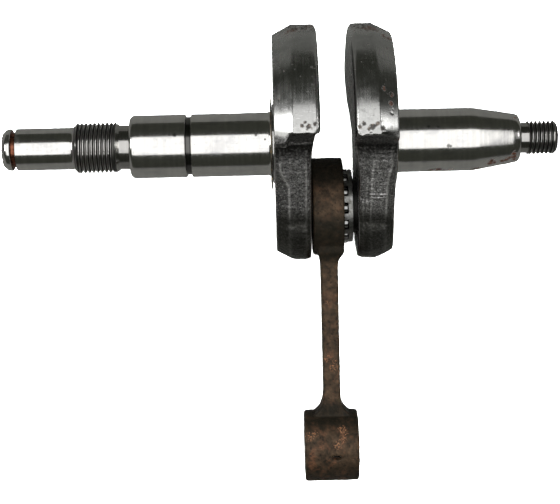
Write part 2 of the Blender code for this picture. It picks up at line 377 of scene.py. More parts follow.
# ======================================================= solids, worked in mm
# crank coordinates: u to the counterweight, v across it, x along the axis;
# a local point is (u, v, x)
CRANK = Matrix(((0, 0, MM, 0), (CL * MM, -SL * MM, 0, 0),
                (SL * MM, CL * MM, 0, 0), (0, 0, 0, 1)))
ROD_A = math.atan2(SMALL_Z - PIN.z, SMALL_Y - PIN.y)
CR, SR = math.cos(ROD_A), math.sin(ROD_A)
# rod coordinates: (along the rod from the big end, across it, x)
ROD = Matrix(((0, 0, MM, ROD_X * MM),
              (CR * MM, -SR * MM, 0, PIN.y * MM),
              (SR * MM, CR * MM, 0, PIN.z * MM), (0, 0, 0, 1)))
PINM = CRANK @ Matrix.Translation((-THROW, 0, 0))


def temp(name, me):
    ob = bpy.data.objects.new(name, me)
    scene.collection.objects.link(ob)
    return ob


def lathe(name, profile, n):
    """Closed solid from (r, x) points, about the local third axis."""
    verts, faces, rows = [], [], []
    for r, x in profile:
        if r < 1e-9:
            rows.append([len(verts)])
            verts.append((0.0, 0.0, x))
        else:
            rows.append(list(range(len(verts), len(verts) + n)))
            verts += [(r * math.cos(2 * math.pi * k / n),
                       r * math.sin(2 * math.pi * k / n), x)
                      for k in range(n)]
    for p, q in zip(rows, rows[1:]):
        for k in range(n):
            j = (k + 1) % n
            if len(p) == 1:
                faces.append((p[0], q[k], q[j]))
            elif len(q) == 1:
                faces.append((p[k], q[0], p[j]))
            else:
                faces.append((p[k], q[k], q[j], p[j]))
    me = bpy.data.meshes.new(name)
    me.from_pydata(verts, [], faces)
    bm = bmesh.new()
    bm.from_mesh(me)
    bmesh.ops.recalc_face_normals(bm, faces=bm.faces)
    bm.to_mesh(me)
    bm.free()
    return temp(name, me)


def loft(name, sections):
    """Closed solid through equal-length rings of points."""
    verts, faces = [], []
    n = len(sections[0])
    for s in sections:
        verts += [tuple(p) for p in s]
    for i in range(len(sections) - 1):
        a, b = i * n, (i + 1) * n
        for k in range(n):
            j = (k + 1) % n
            faces.append((a + k, a + j, b + j, b + k))
    faces.append(tuple(range(n))[::-1])
    faces.append(tuple(range((len(sections) - 1) * n, len(sections) * n)))
    me = bpy.data.meshes.new(name)
    me.from_pydata(verts, [], faces)
    bm = bmesh.new()
    bm.from_mesh(me)
    bmesh.ops.recalc_face_normals(bm, faces=bm.faces)
    bm.to_mesh(me)
    bm.free()
    return temp(name, me)


def evaluated(ob):
    dg = bpy.context.evaluated_depsgraph_get()
    me = bpy.data.meshes.new_from_object(ob.evaluated_get(dg))
    return me


def boolean(ob, other, op):
    m = ob.modifiers.new("b", "BOOLEAN")
    m.operation = op
    m.solver = "EXACT"
    m.object = other
    me = evaluated(ob)
    ob.modifiers.clear()
    old = ob.data
    ob.data = me
    bpy.data.meshes.remove(old)
    bpy.data.objects.remove(other, do_unlink=True)
    return ob


def remesh(ob, size):
    m = ob.modifiers.new("r", "REMESH")
    m.mode = "VOXEL"
    m.voxel_size = size
    m.adaptivity = 0.0
    me = evaluated(ob)
    ob.modifiers.clear()
    ob.data = me
    return ob


def points(me):
    a = np.empty(len(me.vertices) * 3)
    me.vertices.foreach_get("co", a)
    return a.reshape(-1, 3)


def normals(me):
    a = np.empty(len(me.vertices) * 3)
    me.vertices.foreach_get("normal", a)
    return a.reshape(-1, 3)


def set_points(me, p):
    me.vertices.foreach_set("co", p.astype(float).ravel())
    me.update()


def attribute(me, name, values):
    at = me.attributes.get(name) or me.attributes.new(name, "FLOAT", "POINT")
    at.data.foreach_set("value", values.astype(float))


def edges_of(me):
    a = np.empty(len(me.edges) * 2, dtype=np.int32)
    me.edges.foreach_get("vertices", a)
    return a.reshape(-1, 2)


def relax(me, times, amount=0.5, weight=None):
    """Laplacian smoothing of the mesh, weighted per vertex."""
    e = edges_of(me)
    p = points(me)
    cnt = np.bincount(e.ravel(), minlength=len(p)).astype(float)[:, None]
    w = amount if weight is None else (amount * weight)[:, None]
    for _ in range(times):
        acc = np.zeros_like(p)
        np.add.at(acc, e[:, 0], p[e[:, 1]])
        np.add.at(acc, e[:, 1], p[e[:, 0]])
        p = p + (acc / cnt - p) * w
    set_points(me, p)


def place(ob, matrix):
    """Fixes the local mm points into the frame, in metres."""
    ob.data.transform(matrix)
    ob.data.update()
    return ob


def sm(v, lo, hi):
    t = np.clip((v - lo) / (hi - lo), 0, 1)
    return t * t * (3 - 2 * t)


def hash3(ix, iy, iz, seed):
    h = (ix * 374761393 + iy * 668265263 + iz * 2147483647
         + seed * 1274126177) & 0xFFFFFFFF
    h = (h ^ (h >> 13)) * 1274126177 & 0xFFFFFFFF
    return ((h ^ (h >> 16)) & 0xFFFFFF) / float(0xFFFFFF)


def value_noise(p, freq, seed=0):
    """Smooth value noise, -1 to 1, at points p."""
    q = p * freq
    i = np.floor(q).astype(np.int64)
    f = q - i
    f = f * f * (3 - 2 * f)
    out = np.zeros(len(p))
    for dx in (0, 1):
        for dy in (0, 1):
            for dz in (0, 1):
                w = ((f[:, 0] if dx else 1 - f[:, 0])
                     * (f[:, 1] if dy else 1 - f[:, 1])
                     * (f[:, 2] if dz else 1 - f[:, 2]))
                out += w * hash3(i[:, 0] + dx, i[:, 1] + dy, i[:, 2] + dz, seed)
    return out * 2 - 1


def cloud(p, freq, octaves=4, seed=0, gain=0.55):
    out = np.zeros(len(p))
    amp, tot = 1.0, 0.0
    for o in range(octaves):
        out += amp * value_noise(p + 17.3 * o, freq * 2.03 ** o, seed + o * 31)
        tot += amp
        amp *= gain
    return out / tot


def finish_piece(ob, body, nodes, mat, smooth_deg=None):
    me = ob.data
    me.materials.clear()
    me.materials.append(mat)
    me.shade_smooth()
    if smooth_deg:
        me.set_sharp_from_angle(angle=math.radians(smooth_deg))
    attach(ob, body)
    if nodes:
        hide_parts(*nodes)
    return ob


# ==================================================================== floor
floor_me = bpy.data.meshes.new("floor")
N = 24
fv, ff = [], []
for j in range(N + 1):
    for i in range(N + 1):
        fv.append(((i / N - 0.5) * 5.0, (j / N - 0.5) * 5.0, FLOOR_Z * MM))
for j in range(N):
    for i in range(N):
        a = j * (N + 1) + i
        ff.append((a, a + 1, a + N + 2, a + N + 1))
floor_me.from_pydata(fv, [], ff)
floor = temp("floor", floor_me)
g = G("floor_white")
lp = g.n.new("ShaderNodeLightPath").outputs["Is Camera Ray"]
pores = g.noise(g.coord("Object"), 60.0, 3.0)
white = g.mix(pores, (0.86, 0.86, 0.86), (0.90, 0.90, 0.895))
grey = g.mix(pores, (0.026, 0.0265, 0.025), (0.031, 0.031, 0.029))
fd = g.n.new("ShaderNodeBsdfDiffuse")
g.put(fd.inputs["Color"], g.mix(lp, grey, white))
g.l.new(fd.outputs[0], g.out.inputs["Surface"])
floor_me.materials.append(g.mat)

# =================================================================== lights
world = bpy.data.worlds.new("studio")
scene.world = world
world.use_nodes = True
wn, wl = world.node_tree.nodes, world.node_tree.links
wn.clear()
wo = wn.new("ShaderNodeOutputWorld")
wb = wn.new("ShaderNodeBackground")
wlp = wn.new("ShaderNodeLightPath")
wtc = wn.new("ShaderNodeTexCoord")
wsep = wn.new("ShaderNodeSeparateXYZ")
wl.new(wtc.outputs["Generated"], wsep.inputs[0])
low = wn.new("ShaderNodeMapRange")          # low on the -Y side: grey wall
low.interpolation_type = "SMOOTHSTEP"
wl.new(wsep.outputs[2], low.inputs["Value"])
low.inputs["From Min"].default_value = -0.02
low.inputs["From Max"].default_value = 0.08
low.inputs["To Min"].default_value = 1.0
low.inputs["To Max"].default_value = 0.0
near = wn.new("ShaderNodeMapRange")
wl.new(wsep.outputs[1], near.inputs["Value"])
near.inputs["From Min"].default_value = 0.25
near.inputs["From Max"].default_value = -0.25
both = wn.new("ShaderNodeMath")
both.operation = "MULTIPLY"
wl.new(low.outputs[0], both.inputs[0])
wl.new(near.outputs[0], both.inputs[1])
wm = wn.new("ShaderNodeMix")
wm.data_type = "RGBA"
wl.new(both.outputs[0], wm.inputs[0])
wm.inputs[6].default_value = (0.047, 0.0495, 0.040, 1)
wm.inputs[7].default_value = (0.20, 0.20, 0.205, 1)
wm2 = wn.new("ShaderNodeMix")
wm2.data_type = "RGBA"
wl.new(wlp.outputs["Is Camera Ray"], wm2.inputs[0])
wl.new(wm.outputs[2], wm2.inputs[6])
wm2.inputs[7].default_value = (1.0, 1.0, 1.0, 1)
wl.new(wm2.outputs[2], wb.inputs["Color"])
wl.new(wb.outputs[0], wo.inputs["Surface"])


def area(name, loc, target, sx, sy, radiance, color=(1, 1, 1)):
    li = bpy.data.lights.new(name, "AREA")
    li.shape = "RECTANGLE"
    li.size, li.size_y = sx, sy
    li.energy = radiance * math.pi * sx * sy
    li.color = color
    ob = bpy.data.objects.new(name, li)
    ob.location = loc
    d = Vector(target) - Vector(loc)
    ob.rotation_euler = d.to_track_quat("-Z", "Y").to_euler()
    scene.collection.objects.link(ob)
    return ob


softbox = area("softbox", (-0.013, -0.022, 0.60), (-0.013, -0.022, 0.0),
               0.80, 0.765, 1.9)
side_l = area("side_left", (-0.57, 0.09, 0.41), (0.0, 0.0, 0.02),
              0.32, 0.30, 6.0)
side_r = area("side_right", (0.57, 0.125, 0.41), (0.0, 0.0, 0.02),
              0.13, 0.11, 6.5)
side_r2 = area("side_right_low", (0.60, 0.10, 0.43), (0.0, 0.0, 0.02),
               0.34, 0.44, 0.45)
sun = bpy.data.lights.new("floor_lamp", "SUN")
sun.energy = 24.0
sun.angle = math.radians(28.0)
floor_lamp = bpy.data.objects.new("floor_lamp", sun)
scene.collection.objects.link(floor_lamp)
lit = bpy.data.collections.new("floor_only")
scene.collection.children.link(lit)
lit.objects.link(floor)
floor_lamp.light_linking.receiver_collection = lit

# =================================================================== shafts
T12 = (-60.50, -51.50, 6.00, 1.0, 0.60)
T8 = (46.50, 52.60, 4.00, 1.0, 0.60)


def shaft(name, runs, n=192):
    """Turned shaft: runs is a list of ('p', [(x, r)...]) and ('t', thread)."""
    prof, threads = [], []
    for kind, data in runs:
        if kind == "p":
            prof.append(densify(chamfered(data, 0.16), 1.2))
        else:
            threads.append(data)
            x0, x1, r, pitch, depth = data
            k = int(round((x1 - x0) / pitch * 16))
            pts = [(x0 + (x1 - x0) * i / k, r) for i in range(k + 1)]
            prof.append(pts)
    # in order of x
    prof.sort(key=lambda q: min(q[0][0], q[-1][0]))
    prof = [q if q[0][0] <= q[-1][0] else q[::-1] for q in prof]
    line = [p for q in prof for p in q]
    phi = np.arange(n) * 2 * np.pi / n
    verts, faces = [], []
    for x, r in line:
        rr = np.full(n, r)
        for x0, x1, tr, pitch, depth in threads:
            if x0 - 1e-9 <= x <= x1 + 1e-9 and r > 3.9:
                rr = thread_radius(x, phi, x0, x1, tr, pitch, depth, 1.0)
        verts.extend(zip(rr * np.cos(phi), rr * np.sin(phi), np.full(n, x)))
    m = len(line)
    for i in range(m - 1):
        a, b = i * n, (i + 1) * n
        for k in range(n):
            j = (k + 1) % n
            faces.append((a + k, a + j, b + j, b + k))
    for row, x in ((0, line[0][0]), (m - 1, line[-1][0])):
        c = len(verts)
        verts.append((0.0, 0.0, x))
        for k in range(n):
            faces.append((row * n + k, row * n + (k + 1) % n, c))
    me = bpy.data.meshes.new(name)
    me.from_pydata(verts, [], faces)
    bm = bmesh.new()
    bm.from_mesh(me)
    bmesh.ops.remove_doubles(bm, verts=bm.verts, dist=1e-5)
    bmesh.ops.recalc_face_normals(bm, faces=bm.faces)
    bm.to_mesh(me)
    bm.free()
    return temp(name, me)


drive = shaft("drive_shaft", [
    ("p", [(-11.0, 9.40), (-14.25, 9.40), (-14.25, 7.95), (-15.00, 7.50),
           (-33.38, 7.50), (-33.38, 6.875), (-34.63, 6.875), (-34.63, 7.50),
           (-47.20, 7.50), (-47.90, 6.90), (-47.90, 5.20), (-51.50, 5.20)]),
    ("t", T12),
    ("p", [(-60.50, 5.62), (-61.10, 5.30), (-61.45, 5.00), (-75.02, 5.00), (-75.02, 4.17),
           (-76.07, 4.17), (-76.07, 5.00), (-77.10, 5.00), (-78.20, 4.05),
           (-78.20, 0.9)])])
fly = shaft("flywheel_shaft", [
    ("p", [(11.0, 9.20), (14.50, 9.20), (14.50, 7.95), (15.30, 7.50),
           (33.30, 7.50), (43.35, 5.82), (44.15, 5.48), (44.50, 4.80),
           (44.50, 3.60), (46.50, 3.60)]),
    ("t", T8),
    ("p", [(52.60, 4.00), (53.395, 3.25), (53.395, 0.6)])])
key = lathe("keyway", [(0, -1.5), (6.5, -1.5), (6.5, 1.5), (0, 1.5)], 96)
key.data.transform(Matrix.Translation((0.0, -10.6, 38.4))
                   @ Matrix.Rotation(math.radians(90), 4, "Y"))
boolean(fly, key, "DIFFERENCE")
# ===================================================================== webs
def web_outline():
    cx = 28.0 * math.cos(math.radians(67.5))
    cy = 28.0 * math.sin(math.radians(67.5))
    side = [(32.0, 0.0), (32.0, 32.0), (cx, 32.0), (cx, cy - 0.6),
            (cx - 1.1, cy - 1.9), (8.0, 22.5), (6.6, 21.55), (5.0, 21.1),
            (3.2, 20.75), (-6.0, 17.02)]
    side += [(-THROW + 13.2 * math.cos(math.radians(t)),
              13.2 * math.sin(math.radians(t)))
             for t in np.linspace(84.0, 180.0, 49)]
    return side + [(x, -y) for x, y in reversed(side[1:-1])]


def web(name, out_x, cheek_x, pad_x, ramp, cut_back, lip_shift, lip_soft):
    """cut_back(x, u) is how far the forged flank stands back there, and
    lip_shift(x) how far the counterweight's lip reaches down the flank."""
    s = 1.0 if out_x > 0 else -1.0
    ol = web_outline()
    dense = []
    for p, q in zip(ol, ol[1:] + ol[:1]):
        k = max(1, int(math.hypot(q[0] - p[0], q[1] - p[1]) / 0.7))
        dense += [(p[0] + (q[0] - p[0]) * i / k, p[1] + (q[1] - p[1]) * i / k)
                  for i in range(k)]
    d = np.array(dense)
    t = np.roll(d, -1, 0) - np.roll(d, 1, 0)
    t /= np.linalg.norm(t, axis=1)[:, None] + 1e-12
    nrm = np.stack([t[:, 1], -t[:, 0]], 1)
    if (nrm * (d - d.mean(0))).sum() < 0:
        nrm = -nrm
    w = 1.0 - sm(d[:, 0], 5.5, 9.0)
    xs = np.linspace(out_x + s * 0.6, pad_x - s * 0.8, 49)
    secs = []
    for x in xs:
        o = d - nrm * (cut_back(x, d[:, 0]) * w)[:, None]
        lip = sm(d[:, 1], 20.9, 23.4) * (1 - sm(d[:, 0], 10.9, 12.0))
        o[:, 0] -= lip_shift(x) * lip
        o[:, 1] += 0.30 * lip_shift(x) * lip
        secs.append(np.column_stack([o, np.full(len(o), x)]))
    ob = loft(name, secs)
    prof = [(0.0, out_x), (28.0 - 2.30, out_x), (28.0, out_x - s * 4.46)]
    prof += [(28.0 - 1.3 + 1.3 * math.cos(math.radians(a)),
              pad_x + s * 1.3 * (1 - math.sin(math.radians(a))))
             for a in np.linspace(0, 90, 9)]
    prof.append((0.0, pad_x))
    boolean(ob, lathe("puck", prof, 288), "INTERSECT")
    loop = [(-40.0, -s * 10.0), (ramp[0][0] + 6.0, -s * 10.0),
            (ramp[0][0] + 0.2, pad_x - s * 0.5)] + ramp + [(-40.0, cheek_x)]
    cut = loft("step", [[(u, -40.0, x) for u, x in loop],
                        [(u, 40.0, x) for u, x in loop]])
    boolean(ob, cut, "DIFFERENCE")
    hole = lathe("hole", [(0, -30), (6.54, -30), (6.54, 30), (0, 30)], 128)
    hole.data.transform(Matrix.Translation((-THROW, 0, 0)))
    boolean(ob, hole, "DIFFERENCE")
    remesh(ob, VOX)
    me = ob.data
    relax(me, 2, 0.45)
    k = int(round((0.24 / VOX) ** 2 * 30))
    p = points(me)
    u, v, x = p[:, 0], p[:, 1], p[:, 2]
    keep = (np.abs(x - out_x) > 0.5) & (np.abs(x - cheek_x) > 0.4)
    crease = np.exp(-((u + 14.6) / 2.0) ** 2) * (np.abs(v) > 9.5) * keep
    lipw = np.exp(-((u - 10.2) ** 2 + (np.abs(v) - 25.2) ** 2) / 2.6) * keep
    relax(me, k, 0.6, np.clip(crease + lip_soft * lipw, 0, 1))
    return ob


VOX = 0.24


def left_cut(x, u):
    edge = -10.6 - 1.9 * sm(u, -5.5, 0.5)      # the outer ridge drifts out
    out = np.clip((edge - x) / 3.25, 0, 1.2) * 1.9
    return out + max(0.0, x + 6.66) / 1.19 * 0.75


def right_cut(x, u):
    edge = 11.9 + 0.9 * sm(u, -4.0, 1.5)
    out = np.clip((x - edge) / 2.15, 0, 1.3) * 1.45
    inner = np.interp(x, [4.0, 5.6, 6.65, 8.5, 9.0], [1.3, 1.0, 0.42, 0.0, 0.0])
    return out + inner


def left_lip(x):
    return float(1.7 * (1 - sm(np.array(x), -11.4, -9.9)))


def right_lip(x):
    return 0.7


def web_surface(ob, s, out_x, seed, scoops, ridges):
    """Forging, pits and wear on a web; also its material masks, painted shade and painted
    highlights among them.
    """
    me = ob.data
    p = points(me)
    n = normals(me)
    u, v, x = p[:, 0], p[:, 1], p[:, 2]
    r = np.hypot(u, v)
    side = 1.0 - sm(np.abs(n[:, 2]), 0.55, 0.85)
    radial = (n[:, 0] * u + n[:, 1] * v) / np.maximum(r, 1e-6)
    hole = sm(np.hypot(u + THROW, v), 6.9, 7.6)
    turned_rim = sm(r, 25.2, 25.9) * sm(u, 8.5, 10.6)
    tip = sm(r, 27.3, 27.8) * (1 - sm(u, 8.0, 10.0))
    forged = np.clip((1 - turned_rim) * np.maximum(side, 0.0), 0, 1)
    forged *= 1 - 0.75 * tip
    forged *= hole
    lobe = 1.0 - sm(u, -15.5, -10.0)
    big = cloud(p, 0.22, 3, seed)
    mid = cloud(p * np.array([1.0, 1.0, 0.55]), 0.9, 4, seed + 5)
    fine = cloud(p, 3.1, 3, seed + 9)
    # horizontal die lines across the flank, along x
    lines = cloud(p * np.array([1.0, 1.0, 0.12]), 1.5, 2, seed + 21)
    rough = forged * (1 - 0.55 * lobe)
    dsp = rough * (0.08 * big + 0.11 * mid + 0.13 * fine + 0.10 * lines)
    dsp += (1 - forged) * 0.006 * cloud(p, 1.2, 2, seed + 40) * hole
    # corrosion pits, densest at the top of the counterweight's rim
    pit_n = cloud(p, 1.35, 4, seed + 55, 0.62)
    wy = u * CL - v * SL
    top = sm(wy, 23.2, 26.0) * (v > -16)
    pits = sm(pit_n + 0.22 * top, 0.16, 0.42) * top * turned_rim * side
    dsp -= 0.30 * pits
    pit2 = sm(cloud(p, 0.8, 3, seed + 70), 0.46, 0.62) * turned_rim * side
    dsp -= 0.05 * pit2
    spots = np.zeros(len(p))
    for su, sv, sx, sr, dep in scoops:
        dd = np.sqrt((u - su) ** 2 + (v - sv) ** 2 + (x - sx) ** 2) / sr
        dd = dd * (1 + 0.9 * mid + 0.5 * fine)
        dsp -= 0.45 * dep * np.clip(1 - dd ** 2, 0, 1)
        if sr < 0.8:
            spots = np.maximum(spots, sm(1 - dd, 0.0, 0.35))
    for ru, half, rx0, rx1, h in ridges:
        band = np.clip(1 - np.abs((u - ru) / half), 0, 1)
        band *= sm(x, rx0, rx0 + 0.6) * (1 - sm(x, rx1 - 0.6, rx1))
        dsp += h * band * forged * (v > 0)
    # nothing may stand outside the turned sizes
    dsp = np.where((turned_rim > 0.02) | (tip > 0.02) | (side < 0.3),
                   np.minimum(dsp, 0.0), dsp)
    # the displacement fades out round the pin's bore
    dsp *= hole
    p2 = p + n * dsp[:, None]
    set_points(me, p2)
    e = edges_of(me)
    cnt = np.bincount(e.ravel(), minlength=len(p)).astype(float)
    acc = np.zeros_like(p2)
    np.add.at(acc, e[:, 0], p2[e[:, 1]])
    np.add.at(acc, e[:, 1], p2[e[:, 0]])
    lap = acc / cnt[:, None] - p2
    nn = normals(me)
    cur = -(lap * nn).sum(1) / VOX
    for _ in range(2):
        a2 = np.zeros(len(cur))
        np.add.at(a2, e[:, 0], cur[e[:, 1]])
        np.add.at(a2, e[:, 1], cur[e[:, 0]])
        cur = 0.4 * cur + 0.6 * a2 / cnt
    attribute(me, "wear", np.clip(cur * 7.0, 0, 1))
    attribute(me, "hollow", np.clip(-cur * 7.0, 0, 1))
    attribute(me, "forged", forged)
    attribute(me, "lobe", lobe * forged)
    attribute(me, "tip", np.clip(tip * side, 0, 1))
    attribute(me, "pits", np.clip(pits + 0.6 * pit2 + 0.85 * spots, 0, 1))
    # the die's ridges as bright lines, a painted highlight along the rim's inner edge and
    # two painted highlight streaks on the flank; painted shade on the chamfers outside
    # the ridges
    if s < 0:
        e1 = x - (-10.6 - 1.9 * sm(u, -5.5, 0.5))
        e2 = x + 6.66
        rim_e = x + 5.55
        cham = np.maximum(sm(-e1, 0.1, 0.7), 0.8 * sm(e2, 0.05, 0.4))
    else:
        e1 = x - (11.9 + 0.9 * sm(u, -4.0, 1.5))
        e2 = x - 8.35 - 0.25 * sm(u, -4.0, 2.0)
        rim_e = x - 6.6
        cham = np.maximum(sm(e1, 0.1, 0.6), 0.75 * sm(-e2, 0.1, 0.7))
    brk = 0.6 + 0.4 * sm(cloud(p, 1.6, 2, seed + 80), -0.25, 0.25)
    fade = sm(u, -16.0, -11.0) * (1 - sm(u, 1.0, 3.0))
    line = np.maximum(np.exp(-(e1 / 0.20) ** 2), np.exp(-(e2 / 0.19) ** 2))
    # painted highlight along the rim's inner edge
    line = np.maximum(line, 0.7 * np.exp(-(rim_e / 0.14) ** 2)
                      * sm(-u, 7.0, 9.0))
    low = sm(-u, 1.0, 4.0) * (1 - sm(-u, 11.5, 14.5))
    # painted highlight: two bright streaks along the flank
    painted_highlight = np.exp(-((x - (-6.1 if s < 0 else 7.35)) / 0.28) ** 2)
    speck = sm(cloud(p, 2.4, 3, seed + 83), -0.05, 0.22)
    line = np.maximum(line * brk * fade, 0.85 * painted_highlight * speck * low)
    attribute(me, "line", line * forged)
    # painted shade on the chamfers outside the ridges
    attribute(me, "cham", cham * forged * (1 - sm(u, 4.0, 7.0)))
    # painted shade: the flank beneath the counterweight's lip and the lip's facet are
    # darkened
    attribute(me, "shade", np.clip(sm(u, 1.5, 5.0) * (1 - sm(r, 27.2, 27.8)),
                                   0, 1) * (1 - sm(u, 10.6, 11.6)) * side)
    attribute(me, "beneath_lip_shade", sm(u, 2.5, 5.5) * (1 - sm(u, 6.6, 7.6)) * side)
    return ob


left = web("left_web", -13.85, -5.47, -3.42,
           [(10.6, -3.42), (10.25, -4.45), (8.2, -4.75), (6.6, -4.95),
            (4.4, -5.25), (2.0, -5.47)], left_cut, left_lip, 0.25)
web_surface(left, -1, -13.85, 3,
            [(11.2, 25.7, -3.6, 1.1, 0.45), (10.9, 25.5, -6.2, 0.9, 0.35),
             (11.6, 25.6, -8.3, 1.0, 0.25),
             (12.2, 25.2, -4.6, 0.8, 0.25)]
            + [(12.4 + 0.8 * math.sin(1.7 * k), 25.0, -7.6 + 0.75 * k,
                0.55 + 0.1 * math.sin(4.0 * k), 0.26) for k in range(5)],
            [(7.4, 0.7, -12.6, -5.0, 0.30)])
right = web("right_web", 14.05, 5.60, 4.15,
            [(9.2, 4.15), (5.0, 4.45), (3.0, 4.83), (0.0, 5.25),
             (-3.0, 5.60)], right_cut, right_lip, 1.0)
web_surface(right, 1, 14.05, 11,
            [(11.2, 25.7, 5.6, 1.0, 0.35), (11.0, 25.4, 8.9, 1.1, 0.35),
             (11.3, 25.4, 12.2, 1.0, 0.3), (14.5, 23.9, 13.4, 1.2, 0.3)]
            + [(12.0 + 0.7 * math.sin(2.1 * k), 25.2, 5.0 + 1.02 * k,
                0.55 + 0.12 * math.sin(5.0 * k), 0.28) for k in range(9)],
            [(-7.3, 0.38, 7.6, 12.2, 0.34), (-8.3, 0.36, 8.0, 11.8, 0.24)])

# ============================================================ pin and washers
pin = lathe("crankpin_piece", [
    (0.0, -13.55), (1.6, -13.55), (1.9, -13.25), (2.1, -13.55), (5.9, -13.55),
    (6.25, -13.43), (6.48, -13.0), (6.48, -5.2), (6.48, 0.0), (6.48, 5.2),
    (6.48, 13.2), (6.25, 13.63), (5.9, 13.75), (2.1, 13.75), (1.9, 13.45),
    (1.6, 13.75), (0.0, 13.75)], 160)


def washer(name, x0, x1, r, seed):
    c = 0.07
    prof = [(8.05, x0 + c), (8.05 + c, x0), (r - c, x0), (r, x0 + c),
            (r, x1 - c), (r - c, x1), (8.05 + c, x1), (8.05, x1 - c)]
    n = 160
    verts, faces = [], []
    for rr, x in prof:
        for k in range(n):
            a = 2 * math.pi * k / n
            verts.append((rr * math.cos(a), rr * math.sin(a), x))
    m = len(prof)
    for i in range(m):
        a0, b0 = i * n, ((i + 1) % m) * n
        for k in range(n):
            j = (k + 1) % n
            faces.append((a0 + k, a0 + j, b0 + j, b0 + k))
    me = bpy.data.meshes.new(name)
    me.from_pydata(verts, [], faces)
    bm = bmesh.new()
    bm.from_mesh(me)
    bmesh.ops.recalc_face_normals(bm, faces=bm.faces)
    bm.to_mesh(me)
    bm.free()
    return temp(name, me)


wash_l = washer("washer_left", -14.66, -14.30, 10.80, 1)
wash_r = washer("washer_right", 14.55, 14.91, 10.45, 2)

# ====================================================================== rod
def soft_cyl(name, r, h, c, n):
    """Cylinder of half height h with rounded edges."""
    q = [(r - c + c * math.sin(t), -h + c - c * math.cos(t))
         for t in np.linspace(0, math.pi / 2, 6)]
    return lathe(name, [(0.0, -h)] + q + [(a, -b) for a, b in q[::-1]]
                 + [(0.0, h)], n)


rod = soft_cyl("rod_piece", 11.8, 3.80, 0.50, 224)
rod.data.transform(Matrix.Translation((0, 0, 0.25)))
small = soft_cyl("small", 8.8, 6.65, 0.7, 192)
small.data.transform(Matrix.Translation((ROD_LEN, 0, 0)))
boolean(rod, small, "UNION")
# along the rod, half breadth, half thickness
STATIONS = [(5.0, 8.6, 3.10), (10.9, 7.0, 2.90), (12.2, 6.15, 2.42),
            (13.6, 5.6, 2.15), (18.0, 5.10, 2.10), (32.0, 4.75, 2.10),
            (45.4, 4.45, 2.10), (47.3, 4.38, 2.30), (48.6, 4.30, 2.75),
            (49.6, 4.20, 3.45), (50.4, 4.10, 4.40), (51.4, 4.00, 5.2),
            (55.0, 4.00, 5.6)]
sa = np.array(STATIONS)
secs = []
for a in np.linspace(5.0, 55.0, 101):
    hb, hx = np.interp(a, sa[:, 0], sa[:, 1]), np.interp(a, sa[:, 0], sa[:, 2])
    # the foot's shoulder is squarer on the side of the bearing
    hr = max(hx, float(np.interp(a, [5.0, 10.9, 11.7, 12.4, 13.4],
                                 [3.68, 3.64, 3.20, 2.62, 2.15])))
    c = 0.6
    lp_ = []
    for cx_, cy_, a0 in ((hb - c, hr - c, 0), (-hb + c, hr - c, 90),
                         (-hb + c, -hx + c, 180), (hb - c, -hx + c, 270)):
        for t in np.linspace(a0, a0 + 90, 5):
            lp_.append((a, cx_ + c * math.cos(math.radians(t)),
                        cy_ + c * math.sin(math.radians(t))))
    secs.append(lp_)
shank = loft("shank", secs)
shank.data.transform(Matrix.Translation((0, 0, 0.33)))
boolean(rod, shank, "UNION")


def slot_outline():
    o = [(18.4 + 3.1 * math.cos(math.radians(t)),
          3.1 * math.sin(math.radians(t))) for t in np.linspace(95, 265, 22)]
    o += [(41.5 + 2.55 * math.cos(math.radians(t)),
           2.55 * math.sin(math.radians(t))) for t in np.linspace(-85, 85, 22)]
    return o


for z0, z1, grow0, grow1 in ((1.05, 4.0, 0.0, 0.8), (-4.0, -1.05, 0.8, 0.0)):
    so = np.array(slot_outline())
    cen = np.array([30.0, 0.0])

    def widened(k):
        w = so.copy()
        w[:, 1] *= 1 + k / 3.0 * 0.55
        w[:, 0] += np.sign(w[:, 0] - 30.0) * k * 0.3
        return w
    cut = loft("pocket", [np.column_stack([widened(grow0), np.full(len(so), z0 + 0.33)]),
                          np.column_stack([widened(grow1), np.full(len(so), z1 + 0.33)])])
    boolean(rod, cut, "DIFFERENCE")
bore = lathe("big_bore", [(0, -20), (9.06, -20), (9.06, 20), (0, 20)], 208)
boolean(rod, bore, "DIFFERENCE")
bore = lathe("small_bore", [(0, -20), (6.5, -20), (6.5, 20), (0, 20)], 160)
bore.data.transform(Matrix.Translation((ROD_LEN, 0, 0)))
boolean(rod, bore, "DIFFERENCE")
oil = lathe("oil", [(0, 4.0), (1.0, 4.0), (1.0, 8.2), (1.25, 8.95),
                    (1.25, 12.0), (0, 12.0)], 40)
oil.data.transform(Matrix.Translation((ROD_LEN, 0, 1.1))
                   @ Matrix.Rotation(math.radians(10), 4, "Z")
                   @ Matrix.Rotation(math.radians(90), 4, "X")
                   @ Matrix.Diagonal((0.45, 1.15, 1.0, 1.0)))
boolean(rod, oil, "DIFFERENCE")
RVOX = 0.21
remesh(rod, RVOX)
relax(rod.data, 2, 0.45)


